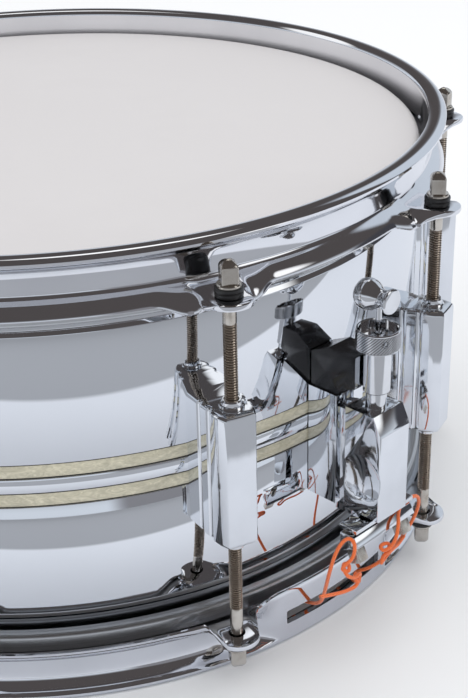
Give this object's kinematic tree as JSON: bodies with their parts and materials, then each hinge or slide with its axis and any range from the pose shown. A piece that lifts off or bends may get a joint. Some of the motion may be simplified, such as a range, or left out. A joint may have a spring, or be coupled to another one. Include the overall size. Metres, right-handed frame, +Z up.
{
  "type": "snare drum",
  "caption": "Shallow metal-shelled snare drum with chromed hoops, bridge lugs, key rods, two cream inlay bands, a throw-off strainer and corded snare wires.",
  "frame": {"origin": "centre of the drum's axis on the standing face of the snare-side rim", "axes": "+Z up the drum's axis to the batter head, -Y towards the strainer, +Y towards the butt end"},
  "size_m": [0.411, 0.4251, 0.192],
  "materials": {
    "chrome_shell": "mirror chrome plated steel",
    "chrome_hoop": "mirror chrome plated steel",
    "chrome_cast": "chrome plated die casting",
    "chrome_turned": "chrome plated turned steel",
    "nickel": "warm nickel plated steel",
    "screw_steel": "zinc plated steel",
    "snare_steel": "coiled steel wire",
    "head_aluminium": "satin aluminium channel",
    "coated_head": "white sprayed coating on polyester film",
    "clear_head": "clear polyester film",
    "pearl_inlay": "cream pearl celluloid",
    "badge_metal": "plain stamped badge",
    "gasket_black": "thin black gasket",
    "nylon_black": "black nylon",
    "strap_nylon": "woven nylon strap",
    "cord_orange": "braided polyester cord"
  },
  "bodies": {
    "root": {"shell": "chrome_shell", "inlay_strips": "pearl_inlay", "vent_badge": "badge_metal", "batter_head": "coated_head", "snare_side_head": "clear_head", "batter_head_ring": "head_aluminium", "snare_side_head_ring": "head_aluminium", "batter_hoop": "chrome_hoop", "snare_side_hoop": "chrome_hoop", "lug_gaskets": "gasket_black", "swivel_nuts": "nickel", "nylon_washers": "nylon_black", "mounting_screws": "screw_steel", "strainer_body": "chrome_cast", "strainer_sleeve": "chrome_turned", "butt_body": "chrome_cast", "butt_plate": "chrome_cast", "butt_screws": "nickel", "butt_strap": "strap_nylon", "snare_wires": "snare_steel", "snare_end_plates": "snare_steel", "lug_01": "chrome_cast", "lug_02": "chrome_cast", "lug_03": "chrome_cast", "lug_04": "chrome_cast", "lug_05": "chrome_cast", "lug_06": "chrome_cast", "lug_07": "chrome_cast", "lug_08": "chrome_cast", "lug_09": "chrome_cast", "lug_10": "chrome_cast"},
    "throw_handle": {"throw_handle": "chrome_turned"},
    "tension_knob": {"tension_knob": "chrome_turned"},
    "strainer_piston": {"strainer_piston": "screw_steel"},
    "snare_clamp": {"snare_clamp_block": "chrome_cast", "snare_clamp_plate": "chrome_cast", "snare_clamp_screws": "nickel", "snare_cord_left": "cord_orange", "snare_cord_right": "cord_orange"},
    "upper_rod_01": {"upper_rod_01": "nickel"},
    "upper_rod_02": {"upper_rod_02": "nickel"},
    "upper_rod_03": {"upper_rod_03": "nickel"},
    "upper_rod_04": {"upper_rod_04": "nickel"},
    "upper_rod_05": {"upper_rod_05": "nickel"},
    "upper_rod_06": {"upper_rod_06": "nickel"},
    "upper_rod_07": {"upper_rod_07": "nickel"},
    "upper_rod_08": {"upper_rod_08": "nickel"},
    "upper_rod_09": {"upper_rod_09": "nickel"},
    "upper_rod_10": {"upper_rod_10": "nickel"},
    "lower_rod_01": {"lower_rod_01": "nickel"},
    "lower_rod_02": {"lower_rod_02": "nickel"},
    "lower_rod_03": {"lower_rod_03": "nickel"},
    "lower_rod_04": {"lower_rod_04": "nickel"},
    "lower_rod_05": {"lower_rod_05": "nickel"},
    "lower_rod_06": {"lower_rod_06": "nickel"},
    "lower_rod_07": {"lower_rod_07": "nickel"},
    "lower_rod_08": {"lower_rod_08": "nickel"},
    "lower_rod_09": {"lower_rod_09": "nickel"},
    "lower_rod_10": {"lower_rod_10": "nickel"}
  },
  "joints": [
    {"name": "upper_rod_01_turn", "type": "hinge", "parent": "root", "child": "upper_rod_01", "pos_m": [0.06041, -0.18593, 0.16], "axis": [0, 0, 1], "range_deg": [-315, 315]},
    {"name": "lower_rod_01_turn", "type": "hinge", "parent": "root", "child": "lower_rod_01", "pos_m": [0.06041, -0.18593, 0.03], "axis": [0, 0, -1], "range_deg": [-315, 315]},
    {"name": "upper_rod_02_turn", "type": "hinge", "parent": "root", "child": "upper_rod_02", "pos_m": [0.15816, -0.11491, 0.16], "axis": [0, 0, 1], "range_deg": [-315, 315]},
    {"name": "lower_rod_02_turn", "type": "hinge", "parent": "root", "child": "lower_rod_02", "pos_m": [0.15816, -0.11491, 0.03], "axis": [0, 0, -1], "range_deg": [-315, 315]},
    {"name": "upper_rod_03_turn", "type": "hinge", "parent": "root", "child": "upper_rod_03", "pos_m": [0.1955, 0, 0.16], "axis": [0, 0, 1], "range_deg": [-315, 315]},
    {"name": "lower_rod_03_turn", "type": "hinge", "parent": "root", "child": "lower_rod_03", "pos_m": [0.1955, 0, 0.03], "axis": [0, 0, -1], "range_deg": [-315, 315]},
    {"name": "upper_rod_04_turn", "type": "hinge", "parent": "root", "child": "upper_rod_04", "pos_m": [0.15816, 0.11491, 0.16], "axis": [0, 0, 1], "range_deg": [-315, 315]},
    {"name": "lower_rod_04_turn", "type": "hinge", "parent": "root", "child": "lower_rod_04", "pos_m": [0.15816, 0.11491, 0.03], "axis": [0, 0, -1], "range_deg": [-315, 315]},
    {"name": "upper_rod_05_turn", "type": "hinge", "parent": "root", "child": "upper_rod_05", "pos_m": [0.06041, 0.18593, 0.16], "axis": [0, 0, 1], "range_deg": [-315, 315]},
    {"name": "lower_rod_05_turn", "type": "hinge", "parent": "root", "child": "lower_rod_05", "pos_m": [0.06041, 0.18593, 0.03], "axis": [0, 0, -1], "range_deg": [-315, 315]},
    {"name": "upper_rod_06_turn", "type": "hinge", "parent": "root", "child": "upper_rod_06", "pos_m": [-0.06041, 0.18593, 0.16], "axis": [0, 0, 1], "range_deg": [-315, 315]},
    {"name": "lower_rod_06_turn", "type": "hinge", "parent": "root", "child": "lower_rod_06", "pos_m": [-0.06041, 0.18593, 0.03], "axis": [0, 0, -1], "range_deg": [-315, 315]},
    {"name": "upper_rod_07_turn", "type": "hinge", "parent": "root", "child": "upper_rod_07", "pos_m": [-0.15816, 0.11491, 0.16], "axis": [0, 0, 1], "range_deg": [-315, 315]},
    {"name": "lower_rod_07_turn", "type": "hinge", "parent": "root", "child": "lower_rod_07", "pos_m": [-0.15816, 0.11491, 0.03], "axis": [0, 0, -1], "range_deg": [-315, 315]},
    {"name": "upper_rod_08_turn", "type": "hinge", "parent": "root", "child": "upper_rod_08", "pos_m": [-0.1955, 0, 0.16], "axis": [0, 0, 1], "range_deg": [-315, 315]},
    {"name": "lower_rod_08_turn", "type": "hinge", "parent": "root", "child": "lower_rod_08", "pos_m": [-0.1955, 0, 0.03], "axis": [0, 0, -1], "range_deg": [-315, 315]},
    {"name": "upper_rod_09_turn", "type": "hinge", "parent": "root", "child": "upper_rod_09", "pos_m": [-0.15816, -0.11491, 0.16], "axis": [0, 0, 1], "range_deg": [-315, 315]},
    {"name": "lower_rod_09_turn", "type": "hinge", "parent": "root", "child": "lower_rod_09", "pos_m": [-0.15816, -0.11491, 0.03], "axis": [0, 0, -1], "range_deg": [-315, 315]},
    {"name": "upper_rod_10_turn", "type": "hinge", "parent": "root", "child": "upper_rod_10", "pos_m": [-0.06041, -0.18593, 0.16], "axis": [0, 0, 1], "range_deg": [-315, 315]},
    {"name": "lower_rod_10_turn", "type": "hinge", "parent": "root", "child": "lower_rod_10", "pos_m": [-0.06041, -0.18593, 0.03], "axis": [0, 0, -1], "range_deg": [-315, 315]},
    {"name": "throw_handle_turn", "type": "hinge", "parent": "root", "child": "throw_handle", "pos_m": [0, -0.2055, 0.1564], "axis": [0, 0, 1], "range_deg": [0, 90]},
    {"name": "piston_drop", "type": "slide", "parent": "root", "child": "strainer_piston", "axis": [0, 0, -1], "range_m": [0, 0.008], "deforming": ["snare_cord_left", "snare_cord_right"]},
    {"name": "tension_knob_turn", "type": "hinge", "parent": "root", "child": "tension_knob", "pos_m": [0, -0.2055, 0.14], "axis": [0, 0, 1], "range_deg": [-360, 360]},
    {"name": "clamp_fine_slide", "type": "slide", "parent": "strainer_piston", "child": "snare_clamp", "axis": [0, 0, 1], "range_m": [-0.0007, 0.0007], "deforming": ["snare_cord_left", "snare_cord_right"]}
  ],
  "couplings": [
    {"joint": "throw_handle_turn", "follows": "piston_drop", "rad_per_m": 196.35},
    {"joint": "tension_knob_turn", "follows": "clamp_fine_slide", "rad_per_m": 8975.9}
  ]
}
